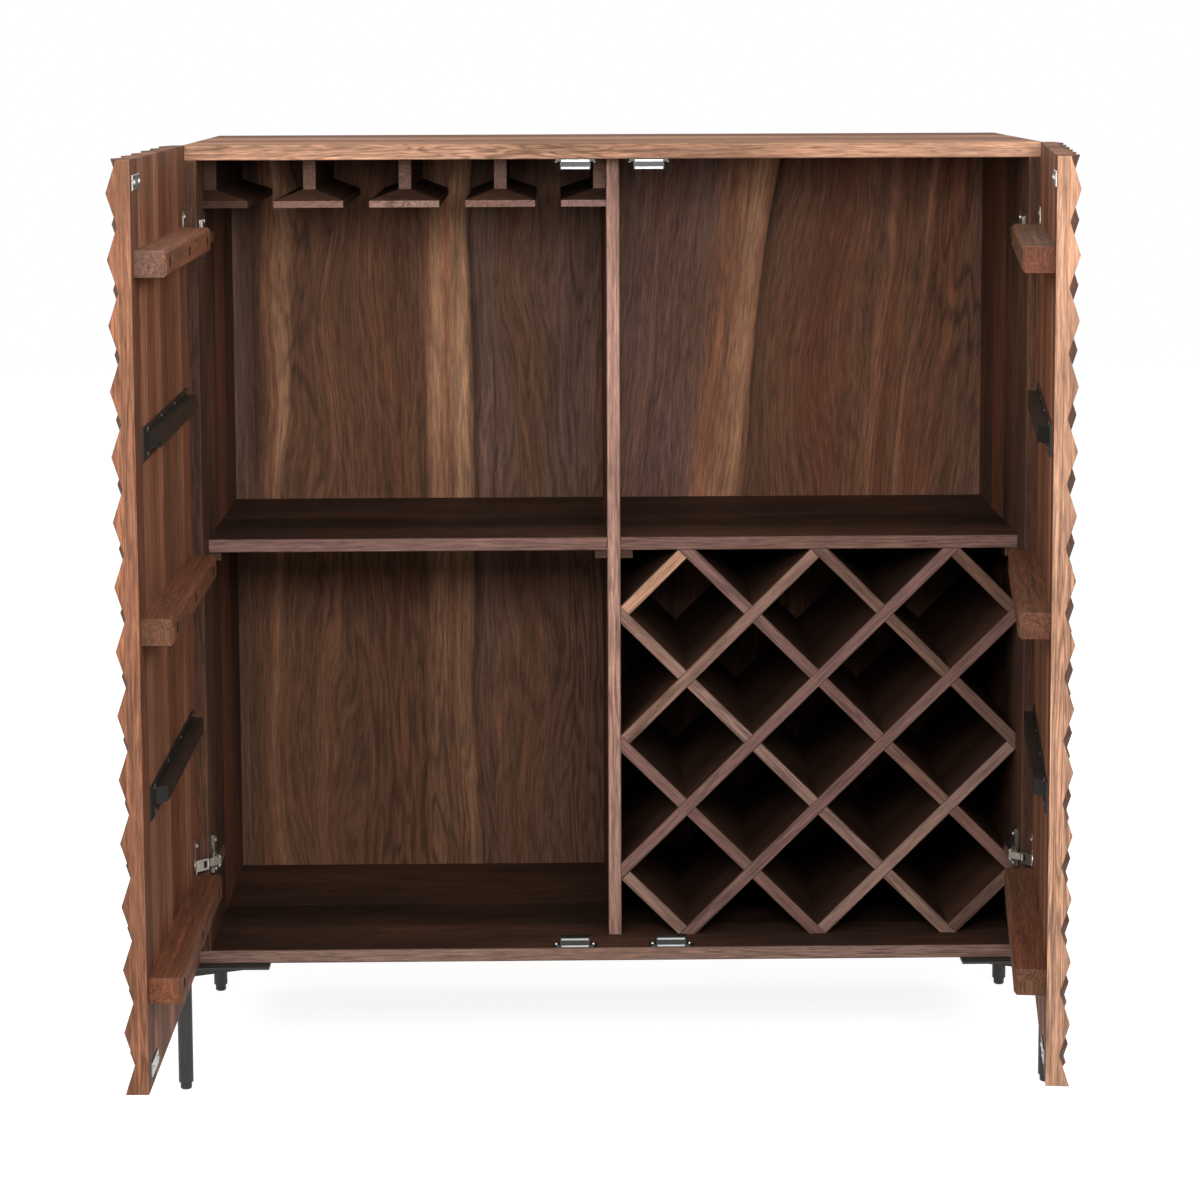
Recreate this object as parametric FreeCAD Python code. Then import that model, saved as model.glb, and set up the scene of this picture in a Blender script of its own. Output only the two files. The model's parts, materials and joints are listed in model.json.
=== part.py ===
import FreeCAD, Part
import math
import os

V = FreeCAD.Vector

# A bar armoire on four steel legs, with two carved doors, a stemware rack and a wine rack.
# Sizes are in millimetres. The carcass is drawn with its front plane at y = 0 and its centre at x = 0.
# The doors are drawn closed and then swung to the angles at which the armoire is kept.

# Overall sizes
width = 1016.0
height = 1143.0
carcass_depth = 430.0
floor_clearance = 153.0

# Carcass boards
top_thickness = 18.0
bottom_thickness = 16.0
side_thickness = 16.0
back_thickness = 10.0
divider_thickness = 16.0
shelf_thickness = 16.0
lower_bay_height = 480.0
front_recess = 57.0
edge_ease = 1.0
cleat_width = 15.0
cleat_height = 10.0
cleat_setback = 3.0

# Stemware rack
rail_count = 5
rail_drop = 59.0
rail_setback = 2.0
flange_width = 84.0
end_flange_width = 54.0
flange_edge = 8.0
flange_rise = 13.0
web_thickness = 15.0
web_setback = 25.0

# Wine rack
rack_columns = 3
rack_rows = 3
slat_thickness = 15.0

# Doors
door_thickness = 25.0
door_relief = 11.0
door_gap = 2.0
centre_gap = 3.0
door_lift = 2.0
facet_columns = 12
facet_rows = 29
left_open_angle = 90.0
right_open_angle = 83.5
pivot_inset = 1.5

# Door battens and straighteners
batten_end_inset = 108.0
batten_depth = 34.0
batten_height = 28.0
batten_free_gap = 17.0
batten_hinge_gap = 50.0
batten_bevel = 3.0
batten_screw_count = 3
batten_screw_margin = 34.0
counterbore_diameter = 12.0
counterbore_depth = 22.0
straightener_width = 36.0
straightener_height = 13.0
straightener_flange = 9.0
straightener_sheet = 2.0
straightener_free_gap = 54.0
straightener_hinge_gap = 34.0
straightener_flat_end = 40.0
straightener_nose = 18.0

# Concealed hinges
upper_hinge_drop = 109.0
lower_hinge_rise = 125.0
cup_diameter = 35.0
cup_depth = 11.5
cup_wall = 1.5
cup_setback = 22.5
cup_play = 0.1
cup_flange_height = 66.0
cup_flange_width = 20.0
cup_flange_thickness = 1.2
cup_rim = 1.5
cup_flange_cut = 6.0
pocket_play = 0.3
link_pivot_inset = 14.5
link_pivot_reach = 8.0
link_length = 18.5
link_width = 14.0
link_fork = 8.0
link_eye_radius = 3.2
link_tip_radius = 2.3
link_closed_angle = -2.0
link_turn_ratio = 1.425
pin_radius = 1.5
pin_play = 0.05
arm_width = 16.0
arm_height = 10.0
arm_front = 3.0
arm_back = 54.0
arm_nose_radius = 3.4
arm_bevel = 2.5
nose_width = 8.0
fork_play = 0.2
plate_thickness = 4.0
plate_front = 26.0
plate_back = 52.0
plate_length = 50.0
plate_cut = 5.0

# Magnetic catches and their strike plates
upper_catch_places = (-45.0, 42.0)
lower_catch_places = (-50.0, 67.0)
catch_setback = 1.4
case_width = 36.0
case_height = 12.5
case_depth = 14.0
ear_width = 9.0
ear_thickness = 3.0
ear_cut = 4.0
pole_width = 33.0
pole_thickness = 2.0
pole_cover = 1.0
pole_proud = 1.2
strike_length = 54.0
strike_height = 16.0
strike_thickness = 1.5
strike_ease = 0.5

# Legs
leg_diameter = 18.0
leg_wall = 1.5
leg_outset = 16.0
leg_front_reach = 8.0
leg_back_inset = 18.0
bracket_thickness = 3.0
bracket_length = 104.0
bracket_width = 30.0
bracket_margin = 1.5
wing_thickness = 4.0
wing_height = 14.0
wing_tip_height = 1.0
glide_diameter = 14.0
glide_height = 9.0
glide_ease = 1.5
glide_plug_length = 12.0
glide_plug_play = 0.05

# Every cut runs this far past the piece
overrun = 5.0

# Places that follow from the sizes above
half_width = width / 2
bottom_low = floor_clearance
bottom_high = bottom_low + bottom_thickness
top_low = height - top_thickness
shelf_low = bottom_high + lower_bay_height
shelf_high = shelf_low + shelf_thickness
side_face = half_width - side_thickness
divider_face = divider_thickness / 2
back_front = carcass_depth - back_thickness
bay_width = side_face - divider_face
door_low = bottom_low + door_lift
door_high = height
door_width = half_width - centre_gap / 2
door_middle = (door_low + door_high) / 2
door_valley = door_thickness - door_relief
pivot_x = half_width - pivot_inset
pivot_y = -door_gap - pivot_inset
hinge_heights = (height - upper_hinge_drop, door_low + lower_hinge_rise)
link_pivot_x = half_width - link_pivot_inset
link_pivot_y = -link_pivot_reach
rail_low = top_low - rail_drop
rail_front = front_recess + rail_setback
web_low = rail_low + flange_edge + flange_rise
rack_depth = back_front - front_recess
rack_middle = front_recess + rack_depth / 2
cell_width = bay_width / rack_columns
cell_height = lower_bay_height / rack_rows


def block(x_pair, y_pair, z_pair):
    """A box between two values on each axis, given in any order."""
    low = V(min(x_pair), min(y_pair), min(z_pair))
    high = V(max(x_pair), max(y_pair), max(z_pair))
    size = high - low
    return Part.makeBox(size.x, size.y, size.z, low)


def prism(points, travel):
    """A straight solid over a closed outline."""
    return flat(points).extrude(travel)


def rod(radius, start, travel):
    return Part.makeCylinder(radius, travel.Length, start, travel)


def eased(shape, on_edge, amount):
    """Chamfers the straight edges whose two ends pass the test."""
    picked = [edge for edge in shape.Edges if all(on_edge(corner.Point) for corner in edge.Vertexes)]
    return shape.makeChamfer(amount, picked)


def eased_front(shape):
    """Chamfers the edges of the face that looks out of the front."""
    front = shape.BoundBox.YMin
    return eased(shape, lambda point: math.isclose(point.y, front, abs_tol=edge_ease / 2), edge_ease)


def cut_corners(shape, axis, amount):
    """Chamfers the edges that run along one axis."""
    picked = [edge for edge in shape.Edges if abs(edge.tangentAt(edge.FirstParameter).dot(axis)) > 1 / 2]
    return shape.makeChamfer(amount, picked)


def joined(shapes):
    return shapes[0].multiFuse(shapes[1:]).removeSplitter()


def flat(points):
    return Part.Face(Part.makePolygon(points + points[:1]))


def closed_solid(faces):
    """A solid inside a full set of flat faces."""
    shell = Part.makeShell(faces)
    shell.sewShape()
    solid = Part.makeSolid(shell)
    if solid.Volume < 0:
        solid.reverse()
    return solid


def carcass_boards():
    """Top and bottom span the full width, the sides stand between them and the back lies inside them."""
    full_depth = (0, carcass_depth)
    upright = (bottom_high, top_low)
    inner_depth = (front_recess, back_front)
    boards = {}
    top = block((-half_width, half_width), full_depth, (top_low, height))
    boards["top_panel"] = eased(top, lambda point: True, edge_ease)
    bottom = block((-half_width, half_width), full_depth, (bottom_low, bottom_high))
    boards["bottom_panel"] = eased(bottom, lambda point: True, edge_ease)
    boards["centre_divider"] = eased_front(block((-divider_face, divider_face), inner_depth, upright))
    for name, side in (("left", -1), ("right", 1)):
        panel = block((side * side_face, side * half_width), full_depth, upright)
        boards[name + "_side_panel"] = eased_front(panel)
        boards[name + "_back_panel"] = block((0, side * side_face), (back_front, carcass_depth), upright)
        shelf = block((side * divider_face, side * side_face), inner_depth, (shelf_low, shelf_high))
        boards[name + "_shelf"] = eased_front(shelf)
    return boards


def shelf_cleats():
    """One cleat under each end of each shelf, fixed to the divider and to the sides."""
    cleats = []
    for side in (-1, 1):
        for wall, inward in ((divider_face, 1), (side_face, -1)):
            across = (side * wall, side * (wall + inward * cleat_width))
            along = (front_recess + cleat_setback, back_front)
            cleats.append(block(across, along, (shelf_low - cleat_height, shelf_low)))
    return Part.makeCompound(cleats)


def rail_spans():
    """Left and right edge of each stemware flange and of its web, from the left side to the divider."""
    tee_count = rail_count - 2
    slot_count = rail_count - 1
    slot = (bay_width - 2 * end_flange_width - tee_count * flange_width) / slot_count
    start = -side_face
    spans = []
    for index in range(rail_count):
        first = index == 0
        last = index == rail_count - 1
        end = start + (end_flange_width if first or last else flange_width)
        web_start = (start + end - web_thickness) / 2
        if first:
            web_start = start
        if last:
            web_start = end - web_thickness
        spans.append(((start, end), (web_start, web_start + web_thickness)))
        start = end + slot
    return spans


def rectangle(x_pair, y_pair, level):
    return [V(x_pair[0], y_pair[0], level), V(x_pair[1], y_pair[0], level),
            V(x_pair[1], y_pair[1], level), V(x_pair[0], y_pair[1], level)]


def stacked(rings):
    """A solid with flat sides between outlines that lie above each other."""
    faces = [flat(rings[0]), flat(rings[-1])]
    for below, above in zip(rings, rings[1:]):
        for index in range(len(below)):
            before = index - 1
            faces.append(flat([below[before], below[index], above[index], above[before]]))
    return closed_solid(faces)


def stemware_rails():
    """Flange boards with a hipped upper face, hung from the top by web battens."""
    rails = {}
    for number, (flange, web) in enumerate(rail_spans(), start=1):
        along = (rail_front, back_front)
        web_along = (rail_front + web_setback, back_front)
        shoulder = rail_low + flange_edge
        rings = [rectangle(flange, along, rail_low), rectangle(flange, along, shoulder),
                 rectangle(web, web_along, web_low)]
        rails[f"stemware_flange_{number}"] = stacked(rings)
        rails[f"stemware_web_{number}"] = block(web, web_along, (web_low, top_low))
    return rails


class Slat:
    """One slat of the wine rack, on a line of cells counted from the bay's lower left corner."""

    def __init__(self, rising, offset):
        self.rising = rising
        self.offset = offset
        if rising:
            left = max(0, -offset)
            right = min(rack_columns, rack_rows - offset)
        else:
            left = max(0, offset - rack_rows)
            right = min(rack_columns, offset)
        self.ends = [(across, self.level(across)) for across in (left, right)]
        self.short = right - left < 1

    def level(self, across):
        return across + self.offset if self.rising else self.offset - across

    def meets(self, cell):
        """Whether the slat's line passes through a place given in cells."""
        return math.isclose(self.level(cell[0]), cell[1])

    def direction(self):
        return V(cell_width, 0, cell_height if self.rising else -cell_height).normalize()

    def strip(self, middle, half_length):
        """Four corners of a straight stretch of the slat, at the front of the rack."""
        along = self.direction()
        across = V(-along.z, 0, along.x)
        corners = []
        for end, face in ((-1, -1), (1, -1), (1, 1), (-1, 1)):
            corners.append(middle + along * (end * half_length) + across * (face * slat_thickness / 2))
        return corners


def rack_place(cell):
    return V(divider_face + cell[0] * cell_width, front_recess, bottom_high + cell[1] * cell_height)


def clipped(points, anchor, normal):
    """The part of a convex outline on the side of a plane to which the normal points."""
    kept = []
    for start, end in zip(points, points[1:] + points[:1]):
        start_depth = (start - anchor).dot(normal)
        end_depth = (end - anchor).dot(normal)
        if start_depth >= 0:
            kept.append(start)
        if start_depth * end_depth < 0:
            kept.append(start + (end - start) * (start_depth / (start_depth - end_depth)))
    return kept


def slat_outline(slat, mates):
    """A slat between the bay's walls, trimmed against the slat that it butts at each wall."""
    low = rack_place((0, 0))
    high = rack_place((rack_columns, rack_rows))
    ends = [rack_place(end) for end in slat.ends]
    middle = (ends[0] + ends[1]) / 2
    points = slat.strip(middle, (ends[1] - ends[0]).Length / 2 + slat_thickness)
    for anchor, normal in ((low, V(1, 0, 0)), (low, V(0, 0, 1)), (high, V(-1, 0, 0)), (high, V(0, 0, -1))):
        points = clipped(points, anchor, normal)
    for end in slat.ends:
        mate = next(other for other in mates if other.meets(end))
        butted = slat.short or (slat.rising and not mate.short)
        if butted:
            along = mate.direction()
            normal = V(-along.z, 0, along.x)
            if (middle - rack_place(end)).dot(normal) < 0:
                normal = -normal
            points = clipped(points, rack_place(end) + normal * (slat_thickness / 2), normal)
    return points


def crossing_places(slat, mates):
    """Places inside the bay where the slat crosses others."""
    places = []
    for mate in mates:
        if slat.rising:
            across = (mate.offset - slat.offset) / 2
        else:
            across = (slat.offset - mate.offset) / 2
        cell = (across, slat.level(across))
        if 0 < cell[0] < rack_columns and 0 < cell[1] < rack_rows:
            places.append((mate, rack_place(cell)))
    return places


def wine_rack():
    """Rising slats are notched from behind and falling ones from the front, so that they lock together."""
    line_count = rack_columns + rack_rows
    rising = [Slat(True, index - rack_columns + 1 / 2) for index in range(line_count)]
    falling = [Slat(False, index + 1 / 2) for index in range(line_count)]
    slats = {}
    for kind, family, mates in (("rising", rising, falling), ("falling", falling, rising)):
        for number, slat in enumerate(family, start=1):
            solid = eased_slat(prism(slat_outline(slat, mates), V(0, rack_depth, 0)), slat)
            notches = []
            for mate, place in crossing_places(slat, mates):
                corners = mate.strip(place, slat_thickness)
                start = rack_middle if slat.rising else front_recess - overrun
                shift = V(0, start - front_recess, 0)
                notch = prism([corner + shift for corner in corners], V(0, rack_depth / 2 + overrun, 0))
                notches.append(notch)
            if notches:
                solid = solid.cut(Part.makeCompound(notches))
            slats[f"rack_{kind}_slat_{number}"] = solid
    return slats


def eased_slat(solid, slat):
    """Breaks the two long front edges of a slat."""
    along = slat.direction()
    picked = []
    for edge in solid.Edges:
        start, end = [corner.Point for corner in edge.Vertexes]
        run = end - start
        in_front = math.isclose(start.y, front_recess) and math.isclose(end.y, front_recess)
        if in_front and run.cross(along).Length < edge_ease / 2:
            picked.append(edge)
    return solid.makeChamfer(edge_ease, picked)


def carved_door(side):
    """A door board whose front is a field of pyramids on a lozenge grid, built facet by facet."""
    back = -door_gap

    def corner(column, row):
        is_peak = (facet_columns - column + row) % 2 == 0
        depth = door_valley + (door_relief if is_peak else 0)
        x = side * (half_width - door_width * column / facet_columns)
        z = door_low + (door_high - door_low) * row / facet_rows
        return V(x, back - depth, z)

    def behind(point):
        return V(point.x, back, point.z)

    columns = range(facet_columns + 1)
    rows = range(facet_rows + 1)
    faces = []
    for column in range(facet_columns):
        for row in range(facet_rows):
            ring = [corner(column, row), corner(column + 1, row),
                    corner(column + 1, row + 1), corner(column, row + 1)]
            if ring[0].y < ring[1].y:
                ring = ring[1:] + ring[:1]
            faces.append(flat([ring[0], ring[1], ring[2]]))
            faces.append(flat([ring[2], ring[3], ring[0]]))
    for column in (0, facet_columns):
        rim = [corner(column, row) for row in rows]
        faces.append(flat(rim + [behind(rim[-1]), behind(rim[0])]))
    for row in (0, facet_rows):
        rim = [corner(column, row) for column in columns]
        faces.append(flat(rim + [behind(rim[-1]), behind(rim[0])]))
    outer = [corner(0, 0), corner(facet_columns, 0), corner(facet_columns, facet_rows), corner(0, facet_rows)]
    faces.append(flat([behind(point) for point in outer]))
    board = closed_solid(faces)
    bores = []
    for level in hinge_heights:
        mouth = V(side * (half_width - cup_setback), back + overrun, level)
        bores.append(rod(cup_diameter / 2 + cup_play, mouth, V(0, -cup_depth - cup_play - overrun, 0)))
    return board.cut(Part.makeCompound(bores))


def door_batten(side, level):
    """A wooden batten across the inside of a door, with counterbored screw holes."""
    near = half_width - batten_hinge_gap
    far = centre_gap / 2 + batten_free_gap
    face = batten_depth - door_gap
    half = batten_height / 2
    body = block((side * near, side * far), (-door_gap, face), (level - half, level + half))
    body = eased(body, lambda point: math.isclose(point.y, face), batten_bevel)
    first = near - batten_screw_margin
    step = (first - far - batten_screw_margin) / (batten_screw_count - 1)
    holes = []
    for index in range(batten_screw_count):
        mouth = V(side * (first - index * step), face + overrun, level)
        holes.append(rod(counterbore_diameter / 2, mouth, V(0, -counterbore_depth - overrun, 0)))
    return body.cut(Part.makeCompound(holes))


def door_straightener(side, level):
    """A pressed steel strip that keeps the door flat. Its hollow crown slopes down to a flat free end."""
    hinge_end = half_width - straightener_hinge_gap
    free_end = centre_gap / 2 + straightener_free_gap
    foot = straightener_width / 2
    outer = foot - straightener_flange
    inner = outer - straightener_sheet
    base = -door_gap
    lip = base + straightener_sheet
    crown = base + straightener_height
    under = crown - straightener_sheet
    nose_start = free_end + straightener_flat_end
    nose_top = nose_start + straightener_nose
    slant = math.hypot(straightener_nose, straightener_height) / straightener_height
    hollow_start = nose_start + straightener_sheet * slant
    hollow_top = nose_top + straightener_sheet * slant
    hollow_under = hollow_top - straightener_nose * straightener_sheet / straightener_height
    past = hinge_end + overrun
    ridge = [(hinge_end, base), (hinge_end, crown), (nose_top, crown), (nose_start, base)]
    hollow = [(past, base - overrun), (past, under), (hollow_under, under), (hollow_start, base),
              (hollow_start, base - overrun)]

    def across(outline, half):
        points = [V(side * along, rise, level - half) for along, rise in outline]
        return prism(points, V(0, 0, 2 * half))

    strip = block((side * hinge_end, side * free_end), (base, lip), (level - foot, level + foot))
    return joined([strip, across(ridge, outer)]).cut(across(hollow, inner))


def hinge_cups(side):
    """Pressed cups with a pocket for the link and a flange that is screwed to the back of the door."""
    cups = []
    centre_x = side * (half_width - cup_setback)
    seat = -door_gap
    for level in hinge_heights:
        centre = V(centre_x, seat, level)
        can = rod(cup_diameter / 2, centre, V(0, -cup_depth, 0))
        rim = rod(cup_diameter / 2 + cup_rim, centre, V(0, cup_flange_thickness, 0))
        half = cup_flange_width / 2
        tall = cup_flange_height / 2
        across = (centre_x - half, centre_x + half)
        flange = block(across, (seat, seat + cup_flange_thickness), (level - tall, level + tall))
        flange = cut_corners(flange, V(0, 1, 0), cup_flange_cut)
        mouth = V(centre_x, seat + cup_flange_thickness + overrun, level)
        deep = cup_depth - cup_wall + cup_flange_thickness + overrun
        hollow = rod(cup_diameter / 2 - cup_wall, mouth, V(0, -deep, 0))
        slot = link_width / 2 + pocket_play
        slab = block((0, side * half_width), (-carcass_depth, carcass_depth), (level - slot, level + slot))
        cups.append(joined([can, rim, flange]).cut(hollow.common(slab)))
    return Part.makeCompound(cups)


def hinge_links(side):
    """Forked links, one per hinge, that turn on the arm's pin and reach into the cup."""
    links = []
    heading = math.radians(link_closed_angle)
    along = V(-side * math.cos(heading), math.sin(heading), 0)
    across = V(-along.y, along.x, 0)
    lift = V(0, 0, link_width)
    for level in hinge_heights:
        eye = V(side * link_pivot_x, link_pivot_y, level - link_width / 2)
        tip = eye + along * link_length
        bar = prism([eye + across * link_eye_radius, eye - across * link_eye_radius,
                     tip - across * link_tip_radius, tip + across * link_tip_radius], lift)
        body = joined([bar, rod(link_eye_radius, eye, lift), rod(link_tip_radius, tip, lift)])
        bore = rod(pin_radius + pin_play, eye - V(0, 0, overrun), V(0, 0, link_width + 2 * overrun))
        gap = nose_width + 2 * fork_play
        fork_low = V(0, 0, (link_width - gap) / 2)
        back = eye - along * (link_eye_radius + overrun) + fork_low
        front = eye + along * link_fork + fork_low
        wide = across * (link_eye_radius + overrun)
        fork = prism([back + wide, back - wide, front - wide, front + wide], V(0, 0, gap))
        links.append(body.cut(Part.makeCompound([bore, fork])))
    return Part.makeCompound(links)


def hinge_arms():
    """Arms that stand on the mounting plates and end in a narrow nose for the link's pin."""
    arms = []
    for side in (-1, 1):
        seat = side_face - plate_thickness
        crown = seat - arm_height
        for level in hinge_heights:
            half = arm_width / 2
            beam = block((side * seat, side * crown), (arm_front, arm_back), (level - half, level + half))
            beam = eased(beam, lambda point: math.isclose(point.x, side * crown), arm_bevel)
            low = V(0, 0, level - nose_width / 2)
            lift = V(0, 0, nose_width)
            eye = V(side * link_pivot_x, link_pivot_y, 0) + low
            out = V(side * arm_nose_radius, 0, 0)
            root = arm_front + arm_bevel
            neck = [eye + out, eye - out, V(side * crown, root, 0) + low, V(side * seat, root, 0) + low]
            arm = joined([beam, prism(neck, lift), rod(arm_nose_radius, eye, lift)])
            bore = rod(pin_radius, eye - V(0, 0, overrun), V(0, 0, nose_width + 2 * overrun))
            arms.append(arm.cut(bore))
    return Part.makeCompound(arms)


def hinge_pins():
    pins = []
    for side in (-1, 1):
        for level in hinge_heights:
            foot = V(side * link_pivot_x, link_pivot_y, level - link_width / 2)
            pins.append(rod(pin_radius, foot, V(0, 0, link_width)))
    return Part.makeCompound(pins)


def hinge_plates():
    """Mounting plates screwed to the inner faces of the sides."""
    plates = []
    for side in (-1, 1):
        for level in hinge_heights:
            thick = (side * side_face, side * (side_face - plate_thickness))
            half = plate_length / 2
            plate = block(thick, (plate_front, plate_back), (level - half, level + half))
            plates.append(cut_corners(plate, V(1, 0, 0), plate_cut))
    return Part.makeCompound(plates)


def catch_layout():
    """Centre, board face and direction away from the board for each of the four catches."""
    upper = [(place, top_low, -1) for place in upper_catch_places]
    lower = [(place, bottom_high, 1) for place in lower_catch_places]
    return upper + lower


def pole_plates():
    """Two steel plates per catch, which stand a little proud of the case."""
    plates = []
    for place, seat, away in catch_layout():
        for start in (pole_cover, case_height - pole_cover - pole_thickness):
            across = (place - pole_width / 2, place + pole_width / 2)
            along = (catch_setback - pole_proud, catch_setback + case_depth - pole_cover)
            levels = (seat + away * start, seat + away * (start + pole_thickness))
            plates.append(block(across, along, levels))
    return Part.makeCompound(plates)


def catch_cases():
    """Catch cases with two screw ears, fixed under the top and on the bottom."""
    cases = []
    for place, seat, away in catch_layout():
        half = case_width / 2
        along = (catch_setback, catch_setback + case_depth)
        body = block((place - half, place + half), along, (seat, seat + away * case_height))
        reach = half + ear_width
        ears = block((place - reach, place + reach), along, (seat, seat + away * ear_thickness))
        cases.append(joined([body, cut_corners(ears, V(0, 0, 1), ear_cut)]))
    return Part.makeCompound([case.cut(pole_plates()) for case in cases])


def strike_plates(side):
    """Steel plates on the inside of a door, opposite its two catches."""
    strikes = []
    for place, seat, away in catch_layout():
        if place * side > 0:
            level = seat + away * case_height / 2
            across = (place - strike_length / 2, place + strike_length / 2)
            levels = (level - strike_height / 2, level + strike_height / 2)
            front = strike_thickness - door_gap
            plate = block(across, (-door_gap, front), levels)
            strikes.append(eased(plate, lambda point: math.isclose(point.y, front), strike_ease))
    return Part.makeCompound(strikes)


def leg(side, centre_y, inward):
    """A steel tube under an angle bracket, with a tapered wing along each edge of the bottom board."""
    centre = V(side * (half_width + leg_outset), centre_y, 0)
    radius = leg_diameter / 2
    plate_low = bottom_low - bracket_thickness
    lift = V(0, 0, bracket_thickness)
    margin = radius + bracket_margin
    tube = rod(radius, centre + V(0, 0, glide_height), V(0, 0, plate_low - glide_height))
    bore = rod(radius - leg_wall, centre, V(0, 0, plate_low))
    pad = rod(margin, centre + V(0, 0, plate_low), lift)
    outer_x = centre.x + side * margin
    outer_y = centre.y - inward * margin
    long_x = centre.x - side * bracket_length
    long_y = centre.y + inward * bracket_length
    plate_levels = (plate_low, bottom_low)
    along_x = block((centre.x, long_x), (outer_y, outer_y + inward * bracket_width), plate_levels)
    along_y = block((outer_x, outer_x - side * bracket_width), (centre.y, long_y), plate_levels)
    seam_x = centre.x - side * (radius - leg_wall)
    seam_y = centre.y + inward * (radius - leg_wall)
    wing_root = plate_low - wing_height
    wing_tip = plate_low - wing_tip_height
    wing_x = prism([V(centre.x, seam_y, plate_low), V(long_x, seam_y, plate_low),
                    V(long_x, seam_y, wing_tip), V(centre.x, seam_y, wing_root)],
                   V(0, inward * wing_thickness, 0))
    wing_y = prism([V(seam_x, centre.y, plate_low), V(seam_x, long_y, plate_low),
                    V(seam_x, long_y, wing_tip), V(seam_x, centre.y, wing_root)],
                   V(-side * wing_thickness, 0, 0))
    return joined([tube, pad, along_x, along_y, wing_x, wing_y]).cut(bore)


def leg_places():
    places = {}
    for end, centre_y, inward in (("front", -leg_front_reach, 1), ("back", carcass_depth - leg_back_inset, -1)):
        for name, side in (("left", -1), ("right", 1)):
            places[f"{end}_{name}_leg"] = (side, centre_y, inward)
    return places


def leg_glides():
    """Turned glides: a foot under the tube and a plug inside it."""
    glides = []
    for side, centre_y, _ in leg_places().values():
        centre = V(side * (half_width + leg_outset), centre_y, 0)
        radius = glide_diameter / 2
        plug = leg_diameter / 2 - leg_wall - glide_plug_play
        crown = glide_height + glide_plug_length
        outline = [(0, 0), (radius - glide_ease, 0), (radius, glide_ease), (radius, glide_height),
                   (plug, glide_height), (plug, crown), (0, crown)]
        points = [centre + V(across, 0, level) for across, level in outline]
        glides.append(flat(points).revolve(centre, V(0, 0, 1), 360))
    return Part.makeCompound(glides)


def fixed_pieces():
    pieces = carcass_boards()
    pieces["shelf_cleats"] = shelf_cleats()
    pieces.update(stemware_rails())
    pieces.update(wine_rack())
    for name, place in leg_places().items():
        pieces[name] = leg(*place)
    pieces["leg_glides"] = leg_glides()
    pieces["catch_cases"] = catch_cases()
    pieces["catch_pole_plates"] = pole_plates()
    pieces["hinge_plates"] = hinge_plates()
    pieces["hinge_arms"] = hinge_arms()
    pieces["hinge_pins"] = hinge_pins()
    return pieces


def door_pieces(name, side):
    """A closed door with everything that swings with it."""
    pieces = {name + "_door": carved_door(side)}
    batten_levels = (door_high - batten_end_inset, door_middle, door_low + batten_end_inset)
    for number, level in enumerate(batten_levels, start=1):
        pieces[f"{name}_door_batten_{number}"] = door_batten(side, level)
    for number, (above, below) in enumerate(zip(batten_levels, batten_levels[1:]), start=1):
        pieces[f"{name}_door_straightener_{number}"] = door_straightener(side, (above + below) / 2)
    pieces[name + "_hinge_cups"] = hinge_cups(side)
    pieces[name + "_strike_plates"] = strike_plates(side)
    return pieces


def whole_armoire():
    pieces = fixed_pieces()
    upright = V(0, 0, 1)
    for name, side, angle in (("left", -1, left_open_angle), ("right", 1, right_open_angle)):
        axis = V(side * pivot_x, pivot_y, 0)
        for node, shape in door_pieces(name, side).items():
            pieces[node] = shape.rotate(axis, upright, side * angle)
        link_axis = V(side * link_pivot_x, link_pivot_y, 0)
        links = hinge_links(side)
        pieces[name + "_hinge_links"] = links.rotate(link_axis, upright, side * angle * link_turn_ratio)
    return pieces


def main():
    """Writes every piece with the origin under the middle of the box around the open armoire."""
    os.makedirs("parts", exist_ok=True)
    pieces = whole_armoire()
    limits = Part.makeCompound(list(pieces.values())).BoundBox
    shift = V(-limits.Center.x, -limits.Center.y, 0)
    for node, shape in pieces.items():
        shape.translate(shift)
        shape.exportStep(f"parts/{node}.step")
    print("nodes", len(pieces))
    print("box", limits.XLength, limits.YLength, limits.ZLength)
    print("shift", shift.x, shift.y)
    print("door axes", pivot_x, pivot_y, "link axes", link_pivot_x, link_pivot_y)


main()
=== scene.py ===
import json
import math

import bpy
from bpy.props import FloatProperty, FloatVectorProperty, IntProperty, PointerProperty
from mathutils import Matrix, Vector


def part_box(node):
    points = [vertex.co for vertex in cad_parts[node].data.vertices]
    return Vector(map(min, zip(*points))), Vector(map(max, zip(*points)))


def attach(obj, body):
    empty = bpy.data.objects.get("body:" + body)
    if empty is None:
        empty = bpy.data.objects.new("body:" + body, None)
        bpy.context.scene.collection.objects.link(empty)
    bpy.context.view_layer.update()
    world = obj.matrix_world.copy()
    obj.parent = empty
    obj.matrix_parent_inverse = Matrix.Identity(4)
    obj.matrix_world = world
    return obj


bl_info = {
    "name": "Bar Armoire",
    "version": (1, 0, 0),
    "blender": (4, 5, 0),
    "location": "View3D > Sidebar > Armoire",
    "description": "Finishes, screws and studio for a bar armoire with carved doors",
    "category": "Object",
}

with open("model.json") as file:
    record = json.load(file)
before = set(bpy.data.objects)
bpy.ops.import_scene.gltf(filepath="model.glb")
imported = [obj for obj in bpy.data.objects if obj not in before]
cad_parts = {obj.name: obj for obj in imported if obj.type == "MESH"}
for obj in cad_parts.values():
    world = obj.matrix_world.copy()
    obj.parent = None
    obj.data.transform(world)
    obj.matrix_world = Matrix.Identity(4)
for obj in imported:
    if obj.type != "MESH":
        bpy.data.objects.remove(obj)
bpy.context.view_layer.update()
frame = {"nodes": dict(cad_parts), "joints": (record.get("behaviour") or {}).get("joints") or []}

MILLIMETRE = 0.001
X_AXIS = Vector((1, 0, 0))
Y_AXIS = Vector((0, 1, 0))
Z_AXIS = Vector((0, 0, 1))


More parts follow.
